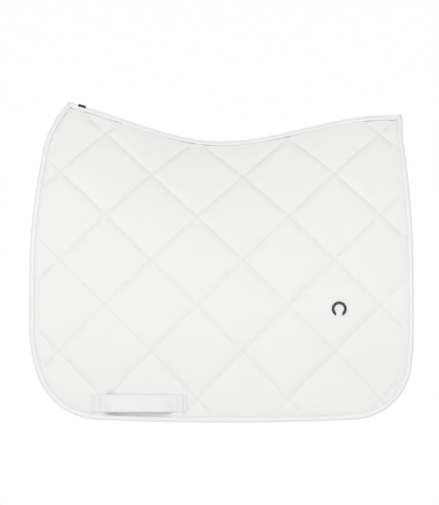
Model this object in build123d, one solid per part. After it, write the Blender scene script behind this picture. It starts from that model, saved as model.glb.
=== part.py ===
from build123d import *
import os
from math import atan, sin, sqrt

# Quilted dressage saddle pad, draped as it hangs over a horse's back or a saddle rack.
# X runs from the withers end (-X) to the rear, Y across the back, Z up.
# The origin is the underside of the spine seam at its dip, where the pad rests on the back.
# Each side is built for +Y, the horse's right, and mirrored for the left.

# Overall sizes, in millimetres
pad_length = 670.0  # front to rear, over the edge binding
drop = 475.0  # spine rest down to the lowest point of the hem
half_width = 152.0  # centre plane to the lining where the flap hangs upright
upright_band = 100.0  # the flap's lowest stretch, which hangs straight down

# Spine seam, seen from the side
withers_rise = 66.0  # front end of the seam above the dip
rear_rise = 45.0  # rear end of the seam above the dip
withers_lean = 0.95  # how steeply the seam still climbs at the withers, 0 for level
withers_at = 265.0  # distance of the withers from the dip
rear_at = 290.0  # distance of the rear levelling-off from the dip
climb_limit = 1.15  # the withers curve goes on for this share of withers_at, then stays level

# Cloth layers
lining_thickness = 1.0
wadding_thickness = 8.0
shell_thickness = 1.0

# Edge binding and the cord inside it
binding_width = 10.5
binding_cloth = 1.0
cord_diameter = 5.0
cord_clearance = 0.2
binding_clearance = 0.1  # between the binding and the cloth that it wraps

# Outline seen from the side; each arc is a radius and a turn in degrees
hem_sag = 5.0  # the hem's middle below its ends
front_corner = ((250.0, 20.0), (115.0, 67.2))  # from the upright edge down to the hem
rear_corner = ((450.0, 8.0), (105.0, 79.2))
front_edge = ((1020.0, 8.7), (2500.0, 1.3), (172.0, 29.5))  # from the upright edge to the withers
rear_edge = ((1750.0, 7.4), (160.0, -7.4))
edge_arcs_depth = 215.0  # where both upright edges start to lean in
headroom = 100.0  # how far the outline stays open above the withers

# Where the cloth's sections are taken, as shares of half the pad's length
station_shares = (0.0, 0.25, 0.45, 0.65, 0.85, 1.06)

# Seam tapes and the size label on the spine
tape_half_width = 6.5
tape_thickness = 1.0
label_half_width = 4.5
label_length = 13.0
label_behind_withers = 13.0
label_thickness = 1.0

# The fold between the yoke, which stays on the spine, and each flap
fold_depth = 100.0  # below the spine rest
fold_gap = 0.4

# Girth strap, sewn near the front hem
strap_length = 165.0
strap_width = 30.0
strap_thickness = 1.6
strap_tab = 20.0  # length sewn down at each end
strap_ramp = 14.0
strap_gap = 7.0  # room for the girth behind the strap
strap_bend_radius = 4.0
strap_centre_x = -144.0
strap_above_hem = 34.0  # hem level to the strap's centre line
bartack_length = 24.0
bartack_width = 2.0
bartack_height = 0.6
bartack_inset = 5.0

# Horseshoe badge on the rear of the flap
badge_radius = 13.0
badge_band = 4.6
badge_opening = 11.0
badge_thickness = 1.2
badge_x = 205.0
badge_depth = 277.0
nail_slot_length = 2.0
nail_slot_width = 0.9
nail_slot_turns = (-58, -20, 20, 58)  # degrees from the top of the arch
badge_chamfer = 0.25
prong_radius = 0.8
washer_radius = 4.0
prong_clinch = 1.5  # prong left beyond its washer
washer_thickness = 0.8
washer_clearance = 0.1  # below the shell's curved inner face
badge_air = 0.3  # a flat plate on gently curved cloth

layers = lining_thickness + wadding_thickness + shell_thickness
rear_x = pad_length / 2
upright_z = upright_band - drop
hem_end_z = hem_sag - drop
reach = 4 * half_width  # past every side of the pad


def spine_height(x):
    """Height of the seam's underside above its dip."""
    if x < 0:
        t = min(-x / withers_at, climb_limit)
        return withers_rise * (t * t * (3 - 2 * t) + withers_lean * (t**3 - t**2))
    t = min(x / rear_at, 1.0)
    return rear_rise * t * t * (3 - 2 * t)


def arch(x):
    """Radius of the lining's arc in the section at x; it leaves the upright flap tangentially."""
    rise = spine_height(x) - upright_z
    return rise / sin(2 * atan(half_width / rise))


def side_y(x, z, out):
    """Distance from the centre plane to the cloth that lies `out` outside the lining's face."""
    radius = arch(x)
    rise = max(z - upright_z, 0.0)
    return half_width - radius + sqrt((radius + out) ** 2 - rise**2)


def crest_z(x, out):
    """Height at which that cloth meets the centre plane."""
    radius = arch(x)
    return upright_z + sqrt((radius + out) ** 2 - (radius - half_width) ** 2)


def section(x, inner, outer):
    """One closed section of a layer, from below the hem up to the centre plane."""
    foot = -drop - binding_width
    edges = []
    for out in (inner, outer):
        top = crest_z(x, out)
        middle = (upright_z + top) / 2
        edges.append(Line((x, half_width + out, foot), (x, half_width + out, upright_z)))
        edges.append(
            ThreePointArc(
                (x, half_width + out, upright_z), (x, side_y(x, middle, out), middle), (x, 0, top)
            )
        )
    edges.append(Line((x, half_width + inner, foot), (x, half_width + outer, foot)))
    edges.append(Line((x, 0, crest_z(x, inner)), (x, 0, crest_z(x, outer))))
    return make_face(edges)


def layer(inner, outer):
    """A layer of cloth over the whole side, before it is cut to the pad's outline."""
    stations = sorted({side * share * rear_x for side in (-1, 1) for share in station_shares})
    return loft([section(x, inner, outer) for x in stations])


def arcs(start, heading, bends):
    """Arcs that run on smoothly from one another; a positive turn is to the left."""
    run = []
    for radius, turn in bends:
        run.append(JernArc(start=start, tangent=heading, radius=radius, arc_size=turn))
        start, heading = run[-1] @ 1, run[-1] % 1
    return run


def outline():
    """The pad seen from the side, over the binding; the top stays open above the spine."""
    above = withers_rise + headroom
    edges, ends = [], []
    for side, corner, edge in ((-1, front_corner, front_edge), (1, rear_corner, rear_edge)):
        upright_x = side * rear_x
        down = arcs((upright_x, 0), (0, -1), [(radius, -side * turn) for radius, turn in corner])
        corner_top = hem_end_z - (down[-1] @ 1).Y
        down = [Pos(0, corner_top) * arc for arc in down]
        foot = (upright_x, -edge_arcs_depth)
        up = arcs(foot, (0, 1), [(radius, side * turn) for radius, turn in edge])
        top, heading = up[-1] @ 1, up[-1] % 1
        crown = (top.X + heading.X / heading.Y * (above - top.Y), above)
        edges += [*down, Line((upright_x, corner_top), foot), *up]
        edges.append(Line(top, crown))
        ends.append((down[-1] @ 1, crown))
    (front_hem, front_crown), (rear_hem, rear_crown) = ends
    hem_middle = ((front_hem.X + rear_hem.X) / 2, -drop)
    edges += [ThreePointArc(front_hem, hem_middle, rear_hem), Line(front_crown, rear_crown)]
    return Plane.XZ * make_face(edges)


side_face = outline()
low_end = (Align.CENTER, Align.CENTER, Align.MIN)


def inset(distance):
    """The side outline, moved in from the pad's outer edge."""
    return offset(side_face, amount=-distance) if distance else side_face


def prism(face):
    """Everything that has this outline when seen from the side."""
    return extrude(face, amount=reach, both=True)


def block(x_range, y_range, z_range):
    """A box between the given limits."""
    sizes = [high - low for low, high in (x_range, y_range, z_range)]
    centre = [(high + low) / 2 for low, high in (x_range, y_range, z_range)]
    return Pos(*centre) * Box(*sizes)


fold_z = -fold_depth
above_fold = block((-reach, reach), (0, reach), (fold_z, reach))
below_fold = block((-reach, reach), (0, reach), (-2 * reach, fold_z - fold_gap))


def cut_layers():
    """Shell, wadding and lining of one side, cut just inside the cord."""
    cut = prism(inset(binding_cloth + cord_diameter + 2 * cord_clearance))
    wadding_from = lining_thickness
    shell_from = lining_thickness + wadding_thickness
    return {
        "lining": layer(0, wadding_from) & cut,
        "wadding": layer(wadding_from, shell_from) & cut,
        "shell": layer(shell_from, layers) & cut,
    }


def edge_binding():
    """Tape folded over the edge as a channel that holds the cord and the layers' edges."""
    band = prism(side_face - inset(binding_width))
    wrap = binding_clearance + binding_cloth
    outside = layer(-wrap, layers + wrap) & band
    inside = layer(-binding_clearance, layers + binding_clearance) & prism(inset(binding_cloth))
    return outside - inside


def edge_cord():
    """Filler cord in the binding's fold, drawn square, and ending short of the spine seam."""
    outer_inset = binding_cloth + cord_clearance
    low = (layers - cord_diameter) / 2
    band = prism(inset(outer_inset) - inset(outer_inset + cord_diameter))
    off_seam = block((-reach, reach), (cord_diameter, reach), (-reach, reach))
    return layer(low, low + cord_diameter) & band & off_seam


def girth_strap():
    """Webbing bridge on the upright part of the flap, with its stitched tabs."""
    face_y = half_width + layers
    centre_z = -drop + strap_above_hem
    low = face_y + strap_thickness / 2
    high = low + strap_gap
    half = strap_length / 2
    route = FilletPolyline(
        (-half, low),
        (-half + strap_tab, low),
        (-half + strap_tab + strap_ramp, high),
        (half - strap_tab - strap_ramp, high),
        (half - strap_tab, low),
        (half, low),
        radius=strap_bend_radius,
    )
    profile = trace(route, strap_thickness)
    strap = Pos(strap_centre_x, 0, centre_z - strap_width / 2) * extrude(profile, amount=strap_width)
    tacks = []
    for end in (-1, 1):
        for at in (bartack_inset, strap_tab - bartack_inset):
            x = strap_centre_x + end * (half - at)
            y = face_y + strap_thickness + bartack_height / 2
            tacks.append(Pos(x, y, centre_z) * Box(bartack_width, bartack_height, bartack_length))
    return strap, Compound(children=tacks)


def badge_plane():
    """Sits flat on the shell at the badge, its normal pointing away from the horse."""
    badge_z = -badge_depth
    slope_x = (side_y(badge_x + 1, badge_z, layers) - side_y(badge_x - 1, badge_z, layers)) / 2
    slope_z = (side_y(badge_x, badge_z + 1, layers) - side_y(badge_x, badge_z - 1, layers)) / 2
    return Plane(
        origin=(badge_x, side_y(badge_x, badge_z, layers), badge_z),
        x_dir=(-1, -slope_x, 0),
        z_dir=(-slope_x, 1, -slope_z),
    )


def badge():
    """Metal horseshoe with two prongs, and the washers that they are clinched over."""
    place = badge_plane()
    shoe = Circle(badge_radius) - Circle(badge_radius - badge_band)
    shoe -= Pos(0, -badge_radius) * Rectangle(badge_opening, 2 * badge_radius)
    for turn in nail_slot_turns:
        slot_place = Rot(0, 0, turn) * Pos(0, badge_radius - badge_band / 2)
        shoe -= slot_place * Rectangle(nail_slot_width, nail_slot_length)
    plate = Pos(0, 0, badge_air) * extrude(shoe, amount=badge_thickness)
    plate = chamfer(plate.faces().sort_by(Axis.Z)[-1].outer_wire().edges(), badge_chamfer)
    prong_x = badge_radius - badge_band / 2
    washer_low = -(shell_thickness + washer_clearance + washer_thickness)
    prong_end = washer_low - prong_clinch
    prongs, washers = [], []
    for side in (-1, 1):
        prong = Cylinder(prong_radius, badge_air - prong_end, align=low_end)
        washer = Cylinder(washer_radius, washer_thickness, align=low_end)
        washer -= Cylinder(prong_radius, washer_thickness, align=low_end)
        prongs.append(Pos(side * prong_x, 0, prong_end) * prong)
        washers.append(Pos(side * prong_x, 0, washer_low) * washer)
    return place * (plate + prongs), place * Compound(children=washers)


def both_sides(half):
    """A piece that crosses the centre plane, from its +Y half."""
    return half + mirror(half, about=Plane.XZ)


def spine_pieces():
    """Tapes over and under the seam, and the woven size label near the withers."""
    cut = prism(inset(binding_width + binding_clearance))
    tape_zone = block((-reach, reach), (0, tape_half_width), (-reach, reach))
    label_front = -withers_at + label_behind_withers
    label_zone = block((label_front, label_front + label_length), (0, label_half_width), (-reach, reach))
    over = layers + tape_thickness
    return {
        "spine_tape": both_sides(layer(layers, over) & cut & tape_zone),
        "seam_tape": both_sides(layer(-tape_thickness, 0) & cut & tape_zone),
        "size_label": both_sides(layer(over, over + label_thickness) & cut & label_zone),
    }


def side_pieces():
    """Every piece of the +Y side, named without its side."""
    strap, bartacks = girth_strap()
    plate, washers = badge()
    pieces = {"girth_strap": strap, "strap_bartacks": bartacks}
    pieces |= {"badge": plate, "badge_washers": washers}
    sheets = {**cut_layers(), "binding": edge_binding(), "cord": edge_cord()}
    sheets["wadding"] -= [plate, washers]
    sheets["shell"] -= plate
    for name, sheet in sheets.items():
        pieces[f"yoke_{name}"] = sheet & above_fold
        pieces[f"flap_{name}"] = sheet & below_fold
    return pieces


def solids_only(shape):
    """The closed solids of a shape, as one compound for export."""
    return Compound(children=list(shape.solids()))


os.makedirs("parts", exist_ok=True)
for name, piece in spine_pieces().items():
    export_step(solids_only(piece), f"parts/{name}.step")
for name, piece in side_pieces().items():
    export_step(solids_only(piece), f"parts/{name}_right.step")
    export_step(solids_only(mirror(piece, about=Plane.XZ)), f"parts/{name}_left.step")
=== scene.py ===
from bisect import bisect_left
from math import acos, asin, atan, ceil, cos, exp, hypot, pi, radians, sin, sqrt, tanh
import bmesh
import bpy
from mathutils import Matrix, Vector, kdtree, noise


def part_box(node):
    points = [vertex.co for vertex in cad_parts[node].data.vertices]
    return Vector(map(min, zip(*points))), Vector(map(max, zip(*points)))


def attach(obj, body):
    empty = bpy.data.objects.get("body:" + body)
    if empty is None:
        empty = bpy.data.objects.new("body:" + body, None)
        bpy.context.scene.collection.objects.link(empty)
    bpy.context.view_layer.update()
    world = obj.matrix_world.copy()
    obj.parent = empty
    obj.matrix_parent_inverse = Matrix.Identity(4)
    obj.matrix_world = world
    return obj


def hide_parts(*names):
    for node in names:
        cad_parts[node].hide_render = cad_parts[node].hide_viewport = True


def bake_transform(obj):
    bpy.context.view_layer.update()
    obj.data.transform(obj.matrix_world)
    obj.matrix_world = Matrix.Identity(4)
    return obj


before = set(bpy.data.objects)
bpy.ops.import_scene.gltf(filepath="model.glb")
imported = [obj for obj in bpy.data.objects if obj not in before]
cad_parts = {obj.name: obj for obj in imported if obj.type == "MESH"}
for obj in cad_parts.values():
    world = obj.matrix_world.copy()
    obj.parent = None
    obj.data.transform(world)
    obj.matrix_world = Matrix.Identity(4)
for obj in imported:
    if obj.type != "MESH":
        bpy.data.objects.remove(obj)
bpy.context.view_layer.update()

# ---- the pad's own surface: the same drape as the solids, in metres ----

drape = dict(
    withersRise=0.066,      # seam's underside above its dip, at the withers
    rearRise=0.045,
    withersAt=0.265,        # along the pad from the dip
    rearAt=0.290,
    withersLean=0.95,
    withersReach=1.15,      # of withersAt, where its curve stops
    uprightBand=0.100,      # lowest stretch of the flap, which hangs straight down
    lining=0.001,
    thickness=0.010,
)
edgeLow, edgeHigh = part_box("flap_binding_right")
frontX, rearX, lowZ = edgeLow.x, edgeHigh.x, edgeLow.z
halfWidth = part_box("flap_lining_right")[1].y - drape["lining"]
uprightZ = lowZ + drape["uprightBand"]
thick = drape["thickness"]


def spineHeight(x):
    if x < 0:
        t = min(-x / drape["withersAt"], drape["withersReach"])
        return drape["withersRise"] * (t * t * (3 - 2 * t) + drape["withersLean"] * (t**3 - t**2))
    t = min(x / drape["rearAt"], 1.0)
    return drape["rearRise"] * t * t * (3 - 2 * t)


def archRadius(x):
    rise = spineHeight(x) - uprightZ
    return rise / sin(2 * atan(halfWidth / rise))


def crestAngle(x, out):
    radius = archRadius(x)
    return acos((radius - halfWidth) / (radius + out))


def crestRun(x):
    # how far up the outer cloth the seam is
    return uprightZ + crestAngle(x, thick) * (archRadius(x) + thick)


def onCloth(x, run, out, side=1):
    # x along the pad, run up the outer cloth, which is its height where it hangs upright,
    # and out from the lining's face; side is 1 right, -1 left
    if run <= uprightZ:
        return Vector((x, side * (halfWidth + out), run))
    radius = archRadius(x)
    share = (run - uprightZ) / (crestAngle(x, thick) * (radius + thick))
    angle = min(share, 1.0) * crestAngle(x, out)
    y = halfWidth - radius + (radius + out) * cos(angle)
    return Vector((x, side * max(y, 0.0), uprightZ + (radius + out) * sin(angle)))


def runAt(x, z):
    # how far up the outer cloth a height is
    radius = archRadius(x) + thick
    return z if z < uprightZ else uprightZ + radius * asin(min((z - uprightZ) / radius, 1.0))


def atHeight(x, z, out, side=1):
    # the same cloth, found by its height
    radius = archRadius(x)
    rise = max(z - uprightZ, 0.0)
    crest = (radius + out) * sin(crestAngle(x, out))
    if rise >= crest:
        return Vector((x, 0, uprightZ + crest))
    return Vector((x, side * (halfWidth - radius + sqrt((radius + out) ** 2 - rise**2)), z))


# ---- the outline seen from the side, as arcs that follow on from one another ----

outline = dict(
    frontCorner=((0.250, 20.0), (0.115, 67.2)),                 # radius and turn, edge to hem
    rearCorner=((0.450, 8.0), (0.105, 79.2)),
    frontEdge=((1.020, 8.7), (2.500, 1.3), (0.172, 29.5)),      # and up to the spine
    rearEdge=((1.750, 7.4), (0.160, -7.4)),
    arcsDepth=0.215,
    hemSag=0.005,
    pastSpine=0.04,
    step=0.003,
)


def walkArcs(x, z, heading, bends):
    points = [(x, z)]
    for radius, turn in bends:
        count = ceil(radius * radians(abs(turn)) / outline["step"])
        for _ in range(count):
            bend = radians(turn) / count
            chord = 2 * radius * sin(abs(bend) / 2)
            x += chord * cos(heading + bend / 2)
            z += chord * sin(heading + bend / 2)
            heading += bend
            points.append((x, z))
    return points, heading


def straight(start, end):
    # the points between two ends, without the ends
    count = max(1, ceil(hypot(end[0] - start[0], end[1] - start[1]) / outline["step"]))
    return [tuple(a + (b - a) * i / count for a, b in zip(start, end)) for i in range(1, count)]


def edgeFromHem(side, corner, edge):
    # up from the hem's end, round the corner and past the spine; side is -1 front, 1 rear
    edgeX = frontX if side < 0 else rearX
    down, _ = walkArcs(edgeX, 0.0, -pi / 2, [(radius, -side * turn) for radius, turn in corner])
    drop = lowZ + outline["hemSag"] - down[-1][1]
    down = [(x, z + drop) for x, z in down]
    arcs = [(radius, side * turn) for radius, turn in edge]
    up, heading = walkArcs(edgeX, -outline["arcsDepth"], pi / 2, arcs)
    topX, topZ = up[-1]
    tip = (topX + outline["pastSpine"] * cos(heading), topZ + outline["pastSpine"] * sin(heading))
    return down[::-1] + straight(down[0], up[0]) + up + straight(up[-1], tip) + [tip]


def sideOutline():
    # withers, down the front, along the hem and up the rear, each with its inward direction
    front = edgeFromHem(-1, outline["frontCorner"], outline["frontEdge"])[::-1]
    rear = edgeFromHem(1, outline["rearCorner"], outline["rearEdge"])
    hem = []
    for x, z in straight(front[-1], rear[0]):
        t = (x - front[-1][0]) / (rear[0][0] - front[-1][0])
        hem.append((x, z - 4 * outline["hemSag"] * t * (1 - t)))
    points = [Vector(p) for p in front + hem + rear]
    ahead = points[1:] + points[-1:]
    behind = points[:1] + points[:-1]
    inward = [Vector((b.y - a.y, a.x - b.x)).normalized() for a, b in zip(ahead, behind)]
    return list(zip(points, inward))


edgePath = sideOutline()
edgeTree = kdtree.KDTree(len(edgePath))
for number, (point, _) in enumerate(edgePath):
    edgeTree.insert((point.x, point.y, 0), number)
edgeTree.balance()
print("outline:", len(edgePath), "stations")


def fromEdge(x, z):
    # how far inside the pad's outer edge a point is
    _, number, _ = edgeTree.find((x, z, 0))
    point, inward = edgePath[number]
    return (Vector((x, z)) - point).dot(inward)


def smooth(share):
    share = min(max(share, 0.0), 1.0)
    return share * share * (3 - 2 * share)


# ---- materials ----

def hexColour(code):
    parts = [int(code[i:i + 2], 16) / 255 for i in (0, 2, 4)]
    return [*(p / 12.92 if p <= 0.04045 else ((p + 0.055) / 1.055) ** 2.4 for p in parts), 1.0]


def addNode(tree, kind, settings=None, inputs=None):
    # inputs may be values or the sockets to link from
    node = tree.nodes.new(kind)
    for name, value in (settings or {}).items():
        setattr(node, name, value)
    for name, value in (inputs or {}).items():
        if isinstance(value, bpy.types.NodeSocket):
            tree.links.new(value, node.inputs[name])
        else:
            node.inputs[name].default_value = value
    return node


def newMaterial(name, settings):
    material = bpy.data.materials.new(name)
    material.use_nodes = True
    material.node_tree.nodes.clear()
    tree = material.node_tree
    shader = addNode(tree, "ShaderNodeBsdfPrincipled", None, settings)
    addNode(tree, "ShaderNodeOutputMaterial", None, {"Surface": shader.outputs["BSDF"]})
    return material, tree, shader


bandScale = 0.314     # the wave texture's scale at which its bands are a metre apart


def clothMaterial(name, settings):
    # woven cloth: threads as fine bump, slow mottling in colour, and a soft fibre sheen
    base = {
        "Base Color": hexColour(settings["colour"]),
        "Roughness": settings["roughness"],
        "Sheen Weight": settings["sheen"],
        "Sheen Roughness": 0.5,
        "IOR": 1.5,
        "Specular IOR Level": settings["specular"],
    }
    material, tree, shader = newMaterial(name, base)
    where = addNode(tree, "ShaderNodeTexCoord").outputs["Object"]
    mapping = {"Vector": where, "Rotation": (0, settings["turn"], 0)}
    turned = addNode(tree, "ShaderNodeMapping", None, mapping).outputs["Vector"]
    threads = []
    for direction in ("X", "Z"):
        wave = addNode(tree, "ShaderNodeTexWave", {"bands_direction": direction},
                       {"Vector": turned, "Scale": bandScale / settings["thread"], "Distortion": 0.4,
                        "Detail": 1.0, "Detail Scale": 2.0})
        threads.append(wave.outputs["Fac"])
    weave = addNode(tree, "ShaderNodeMath", {"operation": "MULTIPLY"}, {0: threads[0], 1: threads[1]})
    fuzz = addNode(tree, "ShaderNodeTexNoise", None,
                   {"Vector": where, "Scale": 1 / settings["fuzz"], "Detail": 3.0}).outputs["Fac"]
    surface = addNode(tree, "ShaderNodeMix", None, {"Factor": 0.35, "A": weave.outputs[0], "B": fuzz})
    bump = addNode(tree, "ShaderNodeBump", None, {"Strength": settings["bump"], "Distance": 0.0004,
                                                  "Height": surface.outputs["Result"]})
    tree.links.new(bump.outputs["Normal"], shader.inputs["Normal"])
    mottle = addNode(tree, "ShaderNodeTexNoise", None, {"Vector": where, "Scale": 14.0, "Detail": 4.0})
    tint = addNode(tree, "ShaderNodeValToRGB", None, {"Fac": mottle.outputs["Fac"]})
    dark, light = tint.color_ramp.elements
    dark.position, light.position = 0.3, 0.7
    dark.color = hexColour(settings["shade"])
    light.color = hexColour(settings["colour"])
    tree.links.new(tint.outputs["Color"], shader.inputs["Base Color"])
    return material


# cotton sateen, woven and bleached: bright white, a faint glow at grazing angles, no gloss
# threads are 0.4 mm apart on the cloth, drawn at 1.2 mm so that they show
cottonSateen = clothMaterial("bleachedCottonSateen", dict(
    colour="e4e4e3", shade="e3e3e2", roughness=0.72, sheen=0.25, specular=0.3, thread=0.0012,
    turn=0.0, fuzz=0.0022, bump=0.22))
# cotton lining, plain woven: a little greyer and rougher against the coat
cottonLining = clothMaterial("plainWovenCottonLining", dict(
    colour="dcdcda", shade="d6d6d4", roughness=0.85, sheen=0.15, specular=0.25, thread=0.0014,
    turn=0.0, fuzz=0.003, bump=0.3))
# bias binding tape, polyester satin: smoother and a touch shinier than the cotton
satinBinding = clothMaterial("polyesterSatinBinding", dict(
    colour="e5e5e5", shade="e4e4e4", roughness=0.5, sheen=0.15, specular=0.45, thread=0.0010,
    turn=radians(45), fuzz=0.002, bump=0.15))
# polypropylene webbing, flat woven: ribs 1.5 mm apart across the strap
flatWebbing = clothMaterial("polypropyleneWebbing", dict(
    colour="e3e3e3", shade="e0e0e0", roughness=0.55, sheen=0.1, specular=0.45, thread=0.0015,
    turn=0.0, fuzz=0.002, bump=0.6))
# polyester thread, spun: short bright stitches
spunThread = clothMaterial("spunPolyesterThread", dict(
    colour="dededd", shade="d2d2d1", roughness=0.5, sheen=0.1, specular=0.5, thread=0.0006,
    turn=radians(30), fuzz=0.001, bump=0.4))
# damask label tape, woven: near black, matt
wovenLabel = clothMaterial("wovenDamaskLabel", dict(
    colour="1a1a1d", shade="121214", roughness=0.7, sheen=0.2, specular=0.3, thread=0.0008,
    turn=0.0, fuzz=0.0015, bump=0.3))


def metalMaterial(name, settings):
    # plated or coated metal: fine grain in the roughness, small dents too soft to see as shapes
    material, tree, shader = newMaterial(name, {"Base Color": hexColour(settings["colour"]),
                                                "Metallic": settings["metallic"],
                                                "Coat Weight": settings["coat"], "Coat Roughness": 0.08})
    where = addNode(tree, "ShaderNodeTexCoord").outputs["Object"]
    grain = addNode(tree, "ShaderNodeTexNoise", None, {"Vector": where, "Scale": 900.0, "Detail": 2.0})
    rough = addNode(tree, "ShaderNodeMapRange", None, {
        "Value": grain.outputs["Fac"], "To Min": settings["smooth"], "To Max": settings["rough"]})
    tree.links.new(rough.outputs["Result"], shader.inputs["Roughness"])
    bump = addNode(tree, "ShaderNodeBump", None,
                   {"Strength": 0.05, "Distance": 0.0002, "Height": grain.outputs["Fac"]})
    tree.links.new(bump.outputs["Normal"], shader.inputs["Normal"])
    return material


# die-cast zinc, powder coated black: dark and glossy with soft highlights
blackZinc = metalMaterial("blackCoatedDieCastZinc", dict(
    colour="101012", metallic=0.4, coat=0.5, smooth=0.22, rough=0.34))
# zinc-plated steel washer, stamped: grey and dull
platedSteel = metalMaterial("zincPlatedSteel", dict(
    colour="a9abad", metallic=1.0, coat=0.0, smooth=0.3, rough=0.45))
print("materials ready")


# ---- making pieces ----

sideNames = {1: "right", -1: "left"}


def pieceFrom(bm, name, material, slotName):
    mesh = bpy.data.meshes.new(name)
    bm.to_mesh(mesh)
    bm.free()
    piece = bpy.data.objects.new(name, mesh)
    bpy.context.collection.objects.link(piece)
    mesh.materials.append(material)
    for face in mesh.polygons:
        face.use_smooth = True
    return piece


def shapedGrid(columns, rows, place):
    # a grid whose corner (0, 0) to (1, 1) is laid wherever place puts it
    bm = bmesh.new()
    bmesh.ops.create_grid(bm, x_segments=columns, y_segments=rows, size=0.5)
    for vert in bm.verts:
        vert.co = place(vert.co.x + 0.5, vert.co.y + 0.5)
    bm.normal_update()
    return bm


def bendsWith(piece):
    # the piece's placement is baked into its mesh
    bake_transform(piece)


# ---- quilted cloth: shell and lining over the wadding, one sewn pad a side ----

quilt = dict(
    halfLength=0.0801,          # half a diamond along the pad
    halfHeight=0.0830,          # and up the flat cloth
    crossing=(-0.0426, -0.434),  # where two stitch lines meet
    cells=9,                    # diamonds along each side of the sheet that is cut to shape
    cellShift=1.5,              # which of them lie on the pad
    steps=20,                   # grid squares along a diamond's side
    skinGap=0.004,              # shell to lining before the cloth swells
    heldNear=0.2,               # share of a grid square that still counts as on the line
    channel=0.012,              # puckers change over this distance from a stitch line
    creaseShare=0.02,           # this near the middle of the channel the stitch line is a crease
    underBinding=0.0050,        # where the cloth's cut edge lies
    sewnDown=0.0092,            # the binding's seam holds the cloth this far in
    nearSeam=0.009,             # it rises over this distance
    seamShare=0.22,             # from this share of its full height
    seamAllowance=0.002,        # cut edge to the spine seam
    tapeSewnDown=0.0050,
    nearSpine=0.016,            # over this distance the channels grow shallow towards the tape
    spineShare=0.25,
    shellSink=0.0040,           # depth of the sewn channels
    liningSink=0.0020,
    flatness=4.5,               # how soon the wadding stops the cloth rising
    pressure=12.0,
    frames=20,
    quickRise=0.012,            # how high a diamond would stand without the cloth simulation
    puckerHeight=0.00035,
    puckerLength=0.011,
    puckerPeak=1.4,             # puckers are highest a little way off the stitch line
    shellNoise=3.0,
    liningNoise=7.0,
)
diamondSide = hypot(quilt["halfLength"], quilt["halfHeight"])


def latticeOf(x, run):
    # stitch lines lie where either number is whole
    along = (x - quilt["crossing"][0]) / (2 * quilt["halfLength"])
    up = (run - quilt["crossing"][1]) / (2 * quilt["halfHeight"])
    return along + up, along - up


def onLattice(u, v):
    return (quilt["crossing"][0] + quilt["halfLength"] * (u + v),
            quilt["crossing"][1] + quilt["halfHeight"] * (u - v))


def edgeLimits(inset):
    # the pad's front and rear limits at each height, for cloth that lies inset from the edge
    points = [p + inward * inset for p, inward in edgePath]
    lowest = min(range(len(points)), key=lambda i: points[i].y)
    front = [(p.y, p.x) for p in points[lowest::-1]]
    rear = [(p.y, p.x) for p in points[lowest:]]
    return front, rear


def limitAt(limits, z):
    i = bisect_left(limits, (z, -1.0))
    if i == 0:
        return None
    if i == len(limits):
        return limits[-1][1]
    (lowerZ, lowerX), (upperZ, upperX) = limits[i - 1:i + 1]
    return lowerX + (upperX - lowerX) * (z - lowerZ) / (upperZ - lowerZ)


def between(x, run, front, rear):
    # whether a place on the cloth lies inside both limits
    z = onCloth(x, run, thick).z
    low, high = limitAt(front, z), limitAt(rear, z)
    return low is not None and high is not None and low < x < high


def onCutLine(x, run):
    # the nearest place on the cloth's cut edge
    z = onCloth(x, run, thick).z
    toEdge = fromEdge(x, z) - quilt["underBinding"]
    toSeam = crestRun(x) - quilt["seamAllowance"] - run
    if toSeam < toEdge:
        return x, run + toSeam
    _, inward = edgePath[edgeTree.find((x, z, 0))[1]]
    x, z = Vector((x, z)) - inward * toEdge
    return x, runAt(x, z)


def flatQuilt():
    # the two skins laid flat, x along the pad and y up the cloth, with the seams pinned
    front, rear = edgeLimits(quilt["underBinding"])
    squares = quilt["cells"] * quilt["steps"]
    bm = bmesh.new()
    bmesh.ops.create_grid(bm, x_segments=squares, y_segments=squares, size=quilt["cells"] / 2)
    for vert in bm.verts:
        x, run = onLattice(vert.co.x + quilt["cellShift"], vert.co.y - quilt["cellShift"])
        vert.co = (x, run, 0)
    outside = []
    for face in bm.faces:
        x, run, _ = face.calc_center_median()
        if run > crestRun(x) - quilt["seamAllowance"] or not between(x, run, front, rear):
            outside.append(face)
    bmesh.ops.delete(bm, geom=outside, context="FACES")
    loose = [v for v in bm.verts if len(v.link_faces) < 2]
    bmesh.ops.delete(bm, geom=loose, context="VERTS")
    for vert in bm.verts:
        if vert.is_boundary:
            vert.co.x, vert.co.y = onCutLine(vert.co.x, vert.co.y)
    bmesh.ops.recalc_face_normals(bm, faces=bm.faces)
    if sum(f.normal.z for f in bm.faces) < 0:
        bmesh.ops.reverse_faces(bm, faces=bm.faces)
    bmesh.ops.solidify(bm, geom=bm.faces[:], thickness=quilt["skinGap"])
    middle = (max(v.co.z for v in bm.verts) + min(v.co.z for v in bm.verts)) / 2
    for vert in bm.verts:
        vert.co.z -= middle
    return bm


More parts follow.
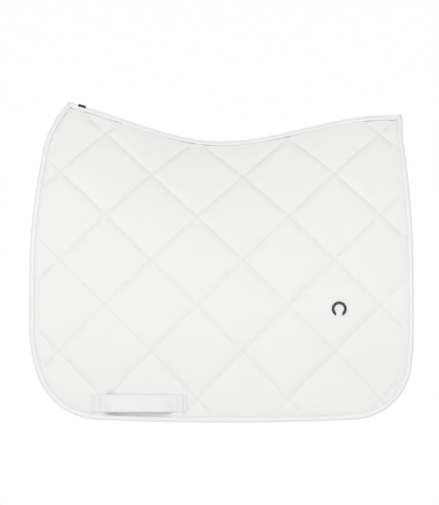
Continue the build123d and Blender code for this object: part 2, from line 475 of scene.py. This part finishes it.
def swell(bm):
    # cloth under light pressure, held along every stitch line, the binding's seam and the spine tape
    bm.verts.ensure_lookup_table()
    held = []
    for vert in bm.verts:
        x, run, _ = vert.co
        u, v = latticeOf(x, run)
        offLine = min(abs(u - round(u)), abs(v - round(v)))
        onLine = offLine < quilt["heldNear"] / quilt["steps"]
        onEdge = any(abs(f.normal.z) < 0.5 for f in vert.link_faces)
        underSeam = fromEdge(x, onCloth(x, run, thick).z) < quilt["sewnDown"]
        if onLine or onEdge or underSeam or run > crestRun(x) - quilt["tapeSewnDown"]:
            held.append(vert.index)
    start = [v.co.copy() for v in bm.verts]
    mesh = bpy.data.meshes.new("flatQuilt")
    bm.to_mesh(mesh)
    cloth = bpy.data.objects.new("flatQuilt", mesh)
    bpy.context.collection.objects.link(cloth)
    seams = cloth.vertex_groups.new(name="seams")
    seams.add(held, 1.0, "REPLACE")
    modifier = cloth.modifiers.new("swell", "CLOTH")
    settings = modifier.settings
    settings.quality = 4
    settings.mass = 0.3
    settings.tension_stiffness = 8
    settings.compression_stiffness = 8
    settings.shear_stiffness = 4
    settings.bending_stiffness = 0.3
    settings.vertex_group_mass = "seams"
    settings.use_pressure = True
    settings.uniform_pressure_force = quilt["pressure"]
    settings.effector_weights.gravity = 0
    modifier.point_cache.frame_start = 1
    modifier.point_cache.frame_end = quilt["frames"]
    for number in range(1, quilt["frames"] + 1):
        bpy.context.scene.frame_set(number)
    view = bpy.context.evaluated_depsgraph_get()
    swollen = cloth.evaluated_get(view).to_mesh()
    rise = [abs(v.co.z) - abs(s.z) for v, s in zip(swollen.vertices, start)]
    cloth.evaluated_get(view).to_mesh_clear()
    bpy.context.scene.frame_set(1)
    bpy.data.objects.remove(cloth)
    bpy.data.meshes.remove(mesh)
    return list(zip(start, rise))


flat = flatQuilt()
swollen = swell(flat)
print("quilt: vertices", len(swollen), "highest rise mm", round(1000 * max(r for _, r in swollen), 2))


def channelShare(x, run):
    # 0 on a stitch line, 1 well away from it
    u, v = latticeOf(x, run)
    near = min(abs(u - round(u)), abs(v - round(v))) * diamondSide
    return min(near / quilt["channel"], 1.0)


strap = dict(
    thickness=0.0016,
    tab=0.020,
    ramp=0.016,
    crown=0.0003,
    pressed=0.008,           # the cloth lies flat this far round the sewn ends
    topClose=0.8,            # the empty strap flops: its top edge hangs this much nearer the cloth
    waver=0.0004,            # slack waves over the bridge
    waverAcross=9,
    waverAlong=5,
    columns=96,
    rows=16,
    edgeRadius=0.0004,
)


def underTab(x, z):
    # 1 under the strap's sewn ends, where the cloth lies flat against them, falling to 0 around them
    low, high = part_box("girth_strap_right")
    away = 1.0
    for start in (low.x, high.x - strap["tab"]):
        beside = max(start - x, x - start - strap["tab"], 0.0)
        above = max(low.z - z, z - high.z, 0.0)
        away = min(away, hypot(beside, above) / strap["pressed"])
    return (1 - away) ** 2 * (1 + 2 * away)


def clothOut(x, run, shell, rise):
    # height of the shell or lining over the lining's plane, where the free cloth rose by this much
    sink = quilt["shellSink"] if shell else quilt["liningSink"]
    fromSpine = (crestRun(x) - run) / quilt["nearSpine"]
    sink *= quilt["spineShare"] + (1 - quilt["spineShare"]) * smooth(fromSpine)
    lift = sink * tanh(quilt["flatness"] * max(rise, 0.0) / sink)
    if rise > 1e-6:
        layer = quilt["shellNoise"] if shell else quilt["liningNoise"]
        pucker = noise.noise(Vector((x, run, layer)) / quilt["puckerLength"])
        share = channelShare(x, run)
        lift += quilt["puckerHeight"] * pucker * share * (quilt["puckerPeak"] - share)
    free = smooth((fromEdge(x, onCloth(x, run, thick).z) - quilt["sewnDown"]) / quilt["nearSeam"])
    lift = lift * free + sink * quilt["seamShare"] * (1 - free)
    if shell:
        lift += (sink - lift) * underTab(x, run)
    return thick - sink + lift if shell else sink - lift


def quiltedPad(side):
    bm = flat.copy()
    for vert, (start, rise) in zip(bm.verts, swollen):
        vert.co = onCloth(start.x, start.y, clothOut(start.x, start.y, start.z > 0, rise), side)
    if side > 0:
        bmesh.ops.reverse_faces(bm, faces=bm.faces)
    creases = bm.edges.layers.float.new("crease_edge")
    for edge in bm.edges:
        ends = [swollen[v.index][0] for v in edge.verts]
        middle = (ends[0] + ends[1]) / 2
        onLine = channelShare(middle.x, middle.y) < quilt["creaseShare"]
        edge[creases] = 1.0 if onLine else 0.0
    for face in bm.faces:
        face.material_index = 1 if all(swollen[v.index][0].z < 0 for v in face.verts) else 0
    piece = pieceFrom(bm, f"quilted_pad_{sideNames[side]}", cottonSateen, "cotton_shell")
    piece.data.materials.append(cottonLining)
    finer = piece.modifiers.new("finer", "SUBSURF")
    finer.levels = finer.render_levels = 1
    return piece


for side in (1, -1):
    pad = quiltedPad(side)
    name = sideNames[side]
    layers = ("shell", "wadding", "lining")
    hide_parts(*(f"{zone}_{layer}_{name}" for zone in ("yoke", "flap") for layer in layers))
    bendsWith(pad)
print("quilted pads done")


# ---- stitches: a small ball drawn out into a stitch, repeated along a seam ----

thread = dict(
    radius=0.00028,
    fineRadius=0.00024,      # on the binding and the tape
    heavyRadius=0.0003,      # in the bartacks
    gap=0.16,                # the share of each stitch that dips into the cloth
)


def sewAlong(bm, route, radius=thread["radius"]):
    # a stitch between each two points of the route
    row = bmesh.new()
    for start, end in zip(route, route[1:]):
        direction = end - start
        if direction.length < 1e-5:
            continue
        half = direction.length * (0.5 - thread["gap"] / 2)
        turn = direction.to_track_quat("Z", "Y").to_matrix().to_4x4()
        size = Matrix.Diagonal((radius, radius, half, 1))
        bmesh.ops.create_icosphere(row, subdivisions=1, radius=1,
                                   matrix=Matrix.Translation((start + end) / 2) @ turn @ size)
    strip = bpy.data.meshes.new("strip")
    row.to_mesh(strip)
    row.free()
    bm.from_mesh(strip)
    bpy.data.meshes.remove(strip)


quilting = dict(
    stitch=0.0042,
    proud=0.00025,
    proudAtSpine=0.0005,     # added near the spine, where the channels are shallow
    shallowFrom=0.3,         # share of quilt nearSpine within which it is all added
    reach=6,                 # stitch lines each way from the crossing
)


def quiltingRoutes(side, shell):
    # every stitch line of both directions, broken where it leaves the cloth
    front, rear = edgeLimits(binding["width"])
    perCell = round(diamondSide / quilting["stitch"])
    reach = quilting["reach"]
    routes = []
    for across in (False, True):
        for line in range(-reach, reach + 1):
            route = []
            for step in range(-reach * perCell, reach * perCell + 1):
                u, v = (line, step / perCell) if across else (step / perCell, line)
                x, run = onLattice(u, v)
                belowTape = abs(x) < rearX and lowZ < run < crestRun(x) - tape["halfWidth"]
                if belowTape and between(x, run, front, rear):
                    fromSpine = (crestRun(x) - run) / quilt["nearSpine"]
                    shallow = 1 - smooth(fromSpine - quilting["shallowFrom"])
                    proud = quilting["proud"] + quilting["proudAtSpine"] * shallow
                    out = clothOut(x, run, shell, 0.0) + (proud if shell else -proud)
                    route.append(onCloth(x, run, out, side))
                elif route:
                    routes.append(route)
                    route = []
            if route:
                routes.append(route)
    return [r for r in routes if len(r) > 2]


tape = dict(
    halfWidth=0.0065,
    thickness=0.001,
    crestRadius=0.0018,
    stitchAt=0.0048,
    stitch=0.003,
    press=0.0018,            # its edges are sewn down into the cloth
    overRoll=0.0006,         # and its ends lie over the binding
    liftStart=0.001,         # they start to rise this far before it
    liftRun=0.005,
    overShell=0.0006,        # added to its height over the shell
    underLining=0.0002,      # the lower tape's place inside the lining
    underOverlap=0.0004,     # how far the lower tape's ends pass the binding's inner edge
    labelOver=0.0016,        # the same as overShell, for the label
    stitchOver=0.0007,       # and for the tape's stitches
    pastBox=0.02,            # cut to the outline from a strip this much longer
    rowInset=0.010,
    endInset=0.003,
    columns=180,
    rows=12,
)
binding = dict(
    width=0.0105,
    proud=0.0011,            # outside the cloth on both faces
    squareness=2.5,          # 2 is round, more is boxier
    pointsRound=24,
    grooveAt=0.0086,         # stitch line, from the edge
    grooveDepth=0.0007,
    grooveWidth=0.0011,
    puckerHeight=0.00028,
    puckerLength=0.008,
    puckerNoise=5.0,
    puckerFade=12,           # puckers fade over one part in this many at each end
    foldFade=4,              # and towards the fold and the inner edge
    weld=0.00005,
    stitch=0.0034,
    stitchProud=0.0001,
    sectionSteps=400,        # places looked at round the roll to find its groove
    shellTurns=(0.025, 0.25),    # the shell's stretch of the section, and the lining's
    liningTurns=(0.75, 0.975),
)


def bindingSection(turn):
    # once round the roll: inner edge, shell face, fold, lining face
    across, up = cos(2 * pi * turn), sin(2 * pi * turn)
    power = 2 / binding["squareness"]
    inset = binding["width"] / 2 * (1 + (abs(across) ** power) * (1 if across > 0 else -1))
    sign = 1 if up > 0 else -1
    out = (thick / 2 + binding["proud"]) * abs(up) ** power
    out -= binding["grooveDepth"] * exp(-((inset - binding["grooveAt"]) / binding["grooveWidth"]) ** 2)
    return inset, thick / 2 + sign * max(out, 0.0)


def edgeAt(station):
    # the outline's point and inward direction, also between stations
    whole = min(int(station), len(edgePath) - 2)
    share = station - whole
    (here, inward), (after, nextInward) = edgePath[whole:whole + 2]
    return here.lerp(after, share), inward.lerp(nextInward, share).normalized()


def onRoll(station, inset, out, side=1):
    point, inward = edgeAt(station)
    x, z = point + inward * inset
    return atHeight(x, z, out, side)


def rollEnds(inset, out):
    # the stations where this line along the roll leaves and meets the spine's centre plane
    last = len(edgePath) - 1
    ends = []
    for low, high in ((0, last // 2), (last, last // 2)):
        for _ in range(24):      # halvings, which leave far less than a stitch
            middle = (low + high) / 2
            if onRoll(middle, inset, out).y > 0:
                high = middle
            else:
                low = middle
        ends.append(high)
    return ends


def edgeBinding(side):
    columns = 2 * (len(edgePath) // 2)
    lines = {}

    def place(along, turn):
        inset, out = bindingSection(turn)
        if turn not in lines:
            lines[turn] = rollEnds(inset, out)
        first, last = lines[turn]
        station = first + (last - first) * along
        length = station * outline["step"] / binding["puckerLength"]
        ripple = noise.noise(Vector((length, 2 * turn, side * binding["puckerNoise"])))
        ripple *= min(1, abs(out / thick - 0.5) * binding["foldFade"])
        ripple *= smooth(binding["puckerFade"] * along) * smooth(binding["puckerFade"] * (1 - along))
        out += binding["puckerHeight"] * ripple * (1 if out > thick / 2 else -1)
        return onRoll(station, inset, out, side)

    bm = shapedGrid(columns, binding["pointsRound"], place)
    bmesh.ops.remove_doubles(bm, verts=bm.verts, dist=binding["weld"])
    bmesh.ops.holes_fill(bm, edges=[e for e in bm.edges if e.is_boundary], sides=0)
    bmesh.ops.recalc_face_normals(bm, faces=bm.faces)
    name = sideNames[side]
    piece = pieceFrom(bm, f"edge_binding_{name}", satinBinding, "binding_tape")
    parts = ("binding", "cord")
    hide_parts(*(f"{zone}_{part}_{name}" for zone in ("yoke", "flap") for part in parts))
    bendsWith(piece)


def grooveTurn(low, high):
    # how far round the roll its groove is, looking from one turn to another
    steps = binding["sectionSteps"]
    turns = [t / steps for t in range(round(low * steps), round(high * steps))]
    return min(turns, key=lambda turn: abs(bindingSection(turn)[0] - binding["grooveAt"]))


def bindingStitches(side):
    bm = bmesh.new()
    every = binding["stitch"] / outline["step"]
    for face, turns in ((1, binding["shellTurns"]), (-1, binding["liningTurns"])):
        inset, out = bindingSection(grooveTurn(*turns))
        first, last = rollEnds(inset, out)
        proud = out + binding["stitchProud"] * face
        stations = [first + (i + 0.5) * every for i in range(int((last - first) / every))]
        sewAlong(bm, [onRoll(s, inset, proud, side) for s in stations], thread["fineRadius"])
    piece = pieceFrom(bm, f"binding_stitches_{sideNames[side]}", spunThread, "sewing_thread")
    bendsWith(piece)


for side in (1, -1):
    edgeBinding(side)
    bindingStitches(side)
    threads = bmesh.new()
    for shell in (True, False):
        for route in quiltingRoutes(side, shell):
            sewAlong(threads, route)
    stitches = pieceFrom(threads, f"quilting_stitches_{sideNames[side]}", spunThread, "sewing_thread")
    bendsWith(stitches)
print("bindings and stitches done")


# ---- spine: tape over the seam, tape under it, and the size label ----

def nearCrest(x, y, out):
    # the cloth near the seam, with the fold rounded over
    radius = archRadius(x)
    reach = sqrt(y * y + tape["crestRadius"] ** 2)
    return Vector((x, y, uprightZ + sqrt((radius + out) ** 2 - (radius - halfWidth + reach) ** 2)))


def spineStrip(name, settings):
    front, rear = edgeLimits(settings["endInset"])
    half, out = settings["half"], settings["out"]
    ends = settings["ends"]

    def place(along, across):
        y = (2 * across - 1) * half
        low, high = ends
        for _ in range(3):
            low = max(ends[0], limitAt(front, nearCrest(low, y, out).z) or ends[0])
            high = min(ends[1], limitAt(rear, nearCrest(high, y, out).z) or ends[1])
        x = low + (high - low) * along
        overBinding = 0.0
        if settings["press"]:
            inside = fromEdge(x, nearCrest(x, y, out).z)
            overBinding = smooth((binding["width"] + tape["liftStart"] - inside) / tape["liftRun"])
        pressed = settings["press"] * (1 - overBinding) * (2 * across - 1) ** 4
        return nearCrest(x, y, out + tape["overRoll"] * overBinding - pressed)

    bm = shapedGrid(settings["columns"], tape["rows"], place)
    if sum(f.normal.z for f in bm.faces) < 0:
        bmesh.ops.reverse_faces(bm, faces=bm.faces)
    bmesh.ops.solidify(bm, geom=bm.faces[:], thickness=settings["thickness"])
    bmesh.ops.recalc_face_normals(bm, faces=bm.faces)
    piece = pieceFrom(bm, name, settings["material"], settings["slot"])
    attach(piece, "spine")
    return piece


tapeLow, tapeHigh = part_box("spine_tape")
overTape = spineStrip("spine_tape_over", dict(
    out=thick + tape["thickness"] + tape["overShell"],
    half=tape["halfWidth"],
    ends=(tapeLow.x - tape["pastBox"], tapeHigh.x + tape["pastBox"]),
    endInset=tape["endInset"],
    press=tape["press"],
    thickness=tape["thickness"],
    columns=tape["columns"],
    material=satinBinding,
    slot="binding_tape"))
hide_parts("spine_tape")
underLow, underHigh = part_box("seam_tape")
underTape = spineStrip("spine_tape_under", dict(
    out=-tape["underLining"],
    half=tape["halfWidth"],
    ends=(underLow.x, underHigh.x),
    endInset=binding["width"] - tape["underOverlap"],
    press=0.0,
    thickness=tape["thickness"],
    columns=tape["columns"],
    material=satinBinding,
    slot="binding_tape"))
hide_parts("seam_tape")
labelLow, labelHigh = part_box("size_label")
label = spineStrip("size_label_blank", dict(
    out=thick + tape["thickness"] + tape["labelOver"],
    half=labelHigh.y,
    ends=(labelLow.x, labelHigh.x),
    endInset=binding["width"],
    press=0.0,
    thickness=0.0008,
    columns=12,
    material=wovenLabel,
    slot="woven_label"))
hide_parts("size_label")
seamRows = bmesh.new()
stitchOut = thick + tape["thickness"] + tape["stitchOver"]
stitchCount = int((tapeHigh.x - tapeLow.x - 2 * tape["rowInset"]) / tape["stitch"])
for y in (-tape["stitchAt"], tape["stitchAt"]):
    places = [tapeLow.x + tape["rowInset"] + i * tape["stitch"] for i in range(stitchCount)]
    sewAlong(seamRows, [nearCrest(x, y, stitchOut) for x in places], thread["fineRadius"])
tapeStitches = pieceFrom(seamRows, "spine_tape_stitches", spunThread, "sewing_thread")
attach(tapeStitches, "spine")
print("spine done")


# ---- girth strap: a flat webbing bridge, sewn down at both ends ----

def girthStrap(side):
    name = sideNames[side]
    low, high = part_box(f"girth_strap_{name}")
    near, far = sorted((abs(low.y), abs(high.y)))
    length, width = high.x - low.x, high.z - low.z

    def place(along, across):
        x = low.x + along * length
        fromEnd = min(x - low.x, high.x - x)
        t = min(max((fromEnd - strap["tab"]) / strap["ramp"], 0.0), 1.0)
        lift = (far - near - strap["thickness"]) * t * t * (3 - 2 * t)
        lift *= 1 - strap["topClose"] * smooth(across)
        waver = strap["waver"] * sin(strap["waverAcross"] * across + strap["waverAlong"] * along) * t
        edge = strap["crown"] * (1 - (2 * across - 1) ** 4)
        y = near + strap["thickness"] - strap["crown"] + edge + lift - abs(waver)
        return Vector((x, side * y, low.z + across * width))

    bm = shapedGrid(strap["columns"], strap["rows"], place)
    if sum(f.normal.y for f in bm.faces) * side < 0:
        bmesh.ops.reverse_faces(bm, faces=bm.faces)
    bmesh.ops.solidify(bm, geom=bm.faces[:], thickness=strap["thickness"] - strap["crown"])
    bmesh.ops.recalc_face_normals(bm, faces=bm.faces)
    piece = pieceFrom(bm, f"girth_webbing_{name}", flatWebbing, "webbing")
    rounded = piece.modifiers.new("selvedge", "BEVEL")
    rounded.width, rounded.segments, rounded.limit_method = strap["edgeRadius"], 2, "ANGLE"
    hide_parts(f"girth_strap_{name}")
    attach(piece, f"flap_{name}")


bartack = dict(width=0.002, rows=20, proud=0.0001)


def bartacks(side):
    # two bars of zigzag on each sewn end of the strap
    name = sideNames[side]
    low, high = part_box(f"strap_bartacks_{name}")
    face = min(abs(low.y), abs(high.y)) + bartack["proud"]
    barWidth, rows = bartack["width"], bartack["rows"]
    bm = bmesh.new()
    for x in (low.x, low.x + strap["tab"] / 2, high.x - barWidth - strap["tab"] / 2, high.x - barWidth):
        route = []
        for i in range(rows + 1):
            z = low.z + (high.z - low.z) * i / rows
            route.append(Vector((x + (barWidth if i % 2 else 0), side * face, z)))
        sewAlong(bm, route, thread["heavyRadius"])
    piece = pieceFrom(bm, f"bartack_threads_{name}", spunThread, "sewing_thread")
    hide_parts(f"strap_bartacks_{name}")
    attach(piece, f"flap_{name}")


for side in (1, -1):
    girthStrap(side)
    bartacks(side)
print("girth straps done")

# ---- badge and washers keep their CAD shape ----

for side in (1, -1):
    for node, material in (("badge", blackZinc), ("badge_washers", platedSteel)):
        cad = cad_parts[f"{node}_{sideNames[side]}"]
        for materialSlot in cad.material_slots:
            materialSlot.material = material
        if not cad.material_slots:
            cad.data.materials.append(material)
print("badges done")

# ---- stage, light and camera ----

studio = dict(
    floorDrop=0.48,            # the pad hangs clear of the floor
    floorRadius=5.8,
    white="ffffff",
    skyBehind=1.0,             # what the background shows behind the pad
    skyInFront=0.55,           # and what the pad's near side faces
    skyTopDarker=0.10,
    viewWidth=0.764,           # what the frame spans at the near flap
    lens=600.0,
    elevation=1.0,
    sensor=36.0,
    aimX=-0.0035,
    aimZ=-0.1786,
    lightsAimZ=-0.2,
)
disc = bmesh.new()
bmesh.ops.create_circle(disc, cap_ends=True, segments=128, radius=studio["floorRadius"])
for vert in disc.verts:
    vert.co.z = lowZ - studio["floorDrop"]
# matt paper, uncoated and white
paper, _, _ = newMaterial("mattWhitePaper", {"Base Color": hexColour("fdfdfd"), "Roughness": 0.9})
floorMesh = bpy.data.meshes.new("floor")
disc.to_mesh(floorMesh)
disc.free()
floorMesh.materials.append(paper)
floor = bpy.data.objects.new("floor", floorMesh)
bpy.context.collection.objects.link(floor)

# white room, brightest behind the pad and a little darker overhead
world = bpy.data.worlds.new("whiteRoom")
bpy.context.scene.world = world
world.use_nodes = True
sky = world.node_tree
direction = addNode(sky, "ShaderNodeTexCoord").outputs["Generated"]
mean = (studio["skyBehind"] + studio["skyInFront"]) / 2
across = addNode(sky, "ShaderNodeVectorMath", {"operation": "DOT_PRODUCT"}, {
    0: direction, 1: (0, studio["skyBehind"] - mean, -studio["skyTopDarker"])}).outputs["Value"]
level = addNode(sky, "ShaderNodeMath", {"operation": "ADD"}, {0: across, 1: mean})
sky.links.new(level.outputs[0], sky.nodes["Background"].inputs["Strength"])
sky.nodes["Background"].inputs["Color"].default_value = hexColour(studio["white"])
bpy.context.scene.view_settings.view_transform = "Standard"


def softbox(name, place, size, power):
    light = bpy.data.lights.new(name, "AREA")
    light.size, light.energy = size, power
    lamp = bpy.data.objects.new(name, light)
    lamp.location = place
    aim = Vector((0, 0, studio["lightsAimZ"])) - Vector(place)
    lamp.rotation_euler = aim.to_track_quat("-Z", "Y").to_euler()
    bpy.context.collection.objects.link(lamp)


softbox("keySoftbox", place=(-0.25, -3.5, 1.7), size=1.6, power=70)
softbox("backSoftbox", place=(0.4, 2.2, 1.2), size=1.6, power=3)

view = bpy.data.cameras.new("studioCamera")
view.sensor_fit, view.sensor_width, view.lens = "HORIZONTAL", studio["sensor"], studio["lens"]
camera = bpy.data.objects.new("studioCamera", view)
distance = studio["viewWidth"] * studio["lens"] / view.sensor_width
lift = radians(studio["elevation"])
target = Vector((studio["aimX"], -(halfWidth + thick), studio["aimZ"]))
camera.location = target + distance * Vector((0, -cos(lift), sin(lift)))
camera.rotation_euler = (target - camera.location).to_track_quat("-Z", "Y").to_euler()
bpy.context.collection.objects.link(camera)
bpy.context.scene.camera = camera
print("stage ready")
